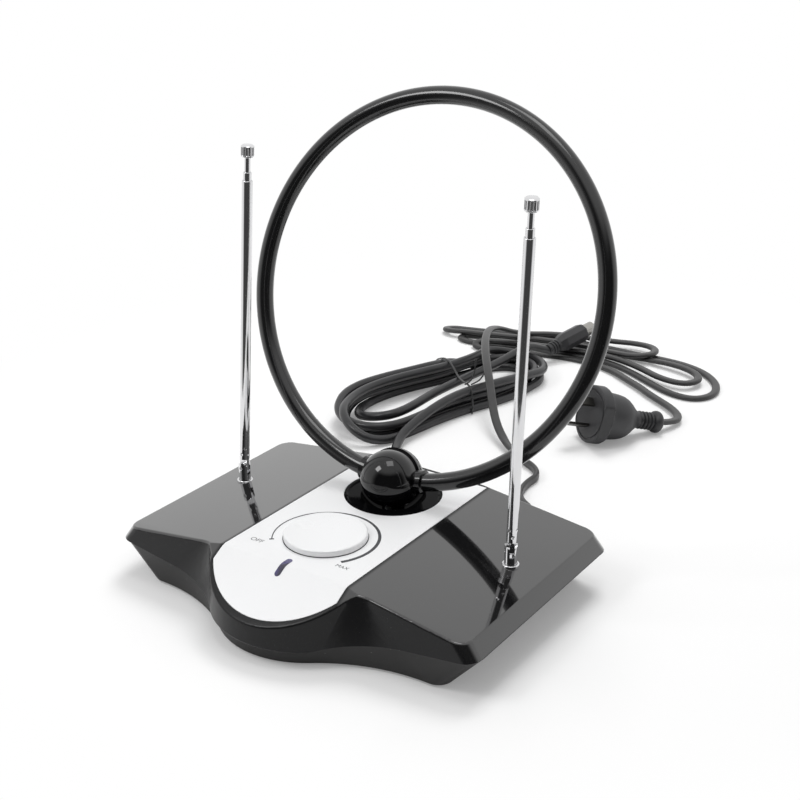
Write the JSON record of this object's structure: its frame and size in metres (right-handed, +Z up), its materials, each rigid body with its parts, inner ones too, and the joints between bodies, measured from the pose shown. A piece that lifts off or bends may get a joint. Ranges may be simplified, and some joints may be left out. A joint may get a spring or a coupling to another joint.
{
  "type": "indoor tv antenna",
  "caption": "Tabletop television antenna: a swivelling UHF loop on a ball, folding telescopic rods and a gain dial on a winged amplified base, with coiled aerial and mains leads.",
  "frame": {"origin": "on the table, under the middle of the whole object without its cords", "axes": "+X to the right seen from the front, +Y towards the rear where the cords leave, +Z up"},
  "size_m": [0.2712, 0.494, 0.2408],
  "materials": {
    "gloss_black": "moulded gloss black",
    "satin_black": "satin charcoal",
    "fascia_silver": "matt silver paint",
    "knob_silver": "satin silver paint",
    "led_violet": "dark translucent violet",
    "chrome": "bright plating",
    "steel": "zinc plated",
    "core_steel": "varnished laminations",
    "winding_tape": "yellow tape over wire",
    "board_green": "solder mask",
    "pot_grey": "moulded grey",
    "lamp_clear": "tinted epoxy",
    "brass": "sprung brass",
    "rubber": "soft black",
    "cord_charcoal": "satin sheath",
    "plug_charcoal": "matt moulding",
    "pin_brass": "bare brass"
  },
  "bodies": {
    "base": {"upper_housing": "gloss_black", "lower_housing": "satin_black", "fascia_panel": "fascia_silver", "led_window": "led_violet", "potentiometer": "pot_grey", "amplifier_board": "board_green", "board_screws": "steel", "indicator_led": "lamp_clear", "transformer_core": "core_steel", "transformer_winding": "winding_tape", "housing_screws": "steel", "rubber_feet": "rubber", "coax_gland": "satin_black", "mains_gland": "satin_black", "coax_lead": "cord_charcoal", "coax_hank": "cord_charcoal", "coax_tie": "plug_charcoal", "coax_tail": "cord_charcoal", "coax_plug": "plug_charcoal", "coax_shell": "chrome", "coax_pin": "pin_brass", "mains_lead": "cord_charcoal", "mains_hank": "cord_charcoal", "mains_tail": "cord_charcoal", "mains_plug": "plug_charcoal", "plug_pins": "pin_brass", "left_rod_bush": "chrome", "left_contact_blade": "brass", "right_rod_bush": "chrome", "right_contact_blade": "brass"},
    "knob": {"gain_knob": "knob_silver", "pot_shaft": "steel"},
    "turntable": {"turntable": "gloss_black", "turntable_clip": "steel"},
    "loop": {"loop_ball_front": "gloss_black", "loop_ball_rear": "gloss_black", "uhf_loop": "gloss_black", "ball_stud": "steel", "friction_washer": "steel", "stud_nut": "steel"},
    "left_swivel": {"left_swivel_fork": "chrome", "left_swivel_clip": "steel", "left_hinge_pin": "chrome"},
    "left_rod": {"left_rod_root": "chrome", "left_rod_tube": "chrome"},
    "left_middle": {"left_rod_middle": "chrome"},
    "left_tip": {"left_rod_inner": "chrome", "left_rod_cap": "chrome"},
    "right_swivel": {"right_swivel_fork": "chrome", "right_swivel_clip": "steel", "right_hinge_pin": "chrome"},
    "right_rod": {"right_rod_root": "chrome", "right_rod_tube": "chrome"},
    "right_middle": {"right_rod_middle": "chrome"},
    "right_tip": {"right_rod_inner": "chrome", "right_rod_cap": "chrome"}
  },
  "joints": [
    {"name": "gain_turn", "type": "hinge", "parent": "base", "child": "knob", "pos_m": [0, -0.03215, 0.0374], "axis": [0, 0, -1], "range_deg": [-38.5, 217.2]},
    {"name": "turntable_turn", "type": "hinge", "parent": "base", "child": "turntable", "pos_m": [0, 0.02685, 0.0374], "axis": [0, 0, 1], "range_deg": [-20, 13]},
    {"name": "loop_tilt", "type": "hinge", "parent": "turntable", "child": "loop", "pos_m": [0, 0.02685, 0.0466], "axis": [0.9981, 0.061, 0], "range_deg": [-9.3, 18.7]},
    {"name": "left_swivel_turn", "type": "hinge", "parent": "base", "child": "left_swivel", "pos_m": [-0.084, 0.00525, 0.03902], "axis": [0, 0, 1], "range_deg": [-90, 90]},
    {"name": "left_elbow_fold", "type": "hinge", "parent": "left_swivel", "child": "left_rod", "pos_m": [-0.084, 0.00525, 0.03902], "axis": [0, -1, 0], "range_deg": [-6.16, 93.84]},
    {"name": "left_middle_draw", "type": "slide", "parent": "left_rod", "child": "left_middle", "axis": [0.067, 0, 0.9978], "range_m": [0, 0.13]},
    {"name": "left_inner_draw", "type": "slide", "parent": "left_middle", "child": "left_tip", "axis": [0.067, 0, 0.9978], "range_m": [0, 0.13]},
    {"name": "right_swivel_turn", "type": "hinge", "parent": "base", "child": "right_swivel", "pos_m": [0.084, 0.00525, 0.03902], "axis": [0, 0, -1], "range_deg": [-138.4, 41.6]},
    {"name": "right_elbow_fold", "type": "hinge", "parent": "right_swivel", "child": "right_rod", "pos_m": [0.084, 0.00525, 0.03902], "axis": [0.7478, 0.6639, 0], "range_deg": [-15.44, 84.56]},
    {"name": "right_middle_draw", "type": "slide", "parent": "right_rod", "child": "right_middle", "axis": [0.0629, -0.0709, 0.9955], "range_m": [0, 0.13]},
    {"name": "right_inner_draw", "type": "slide", "parent": "right_middle", "child": "right_tip", "axis": [0.0629, -0.0709, 0.9955], "range_m": [0, 0.13]}
  ]
}
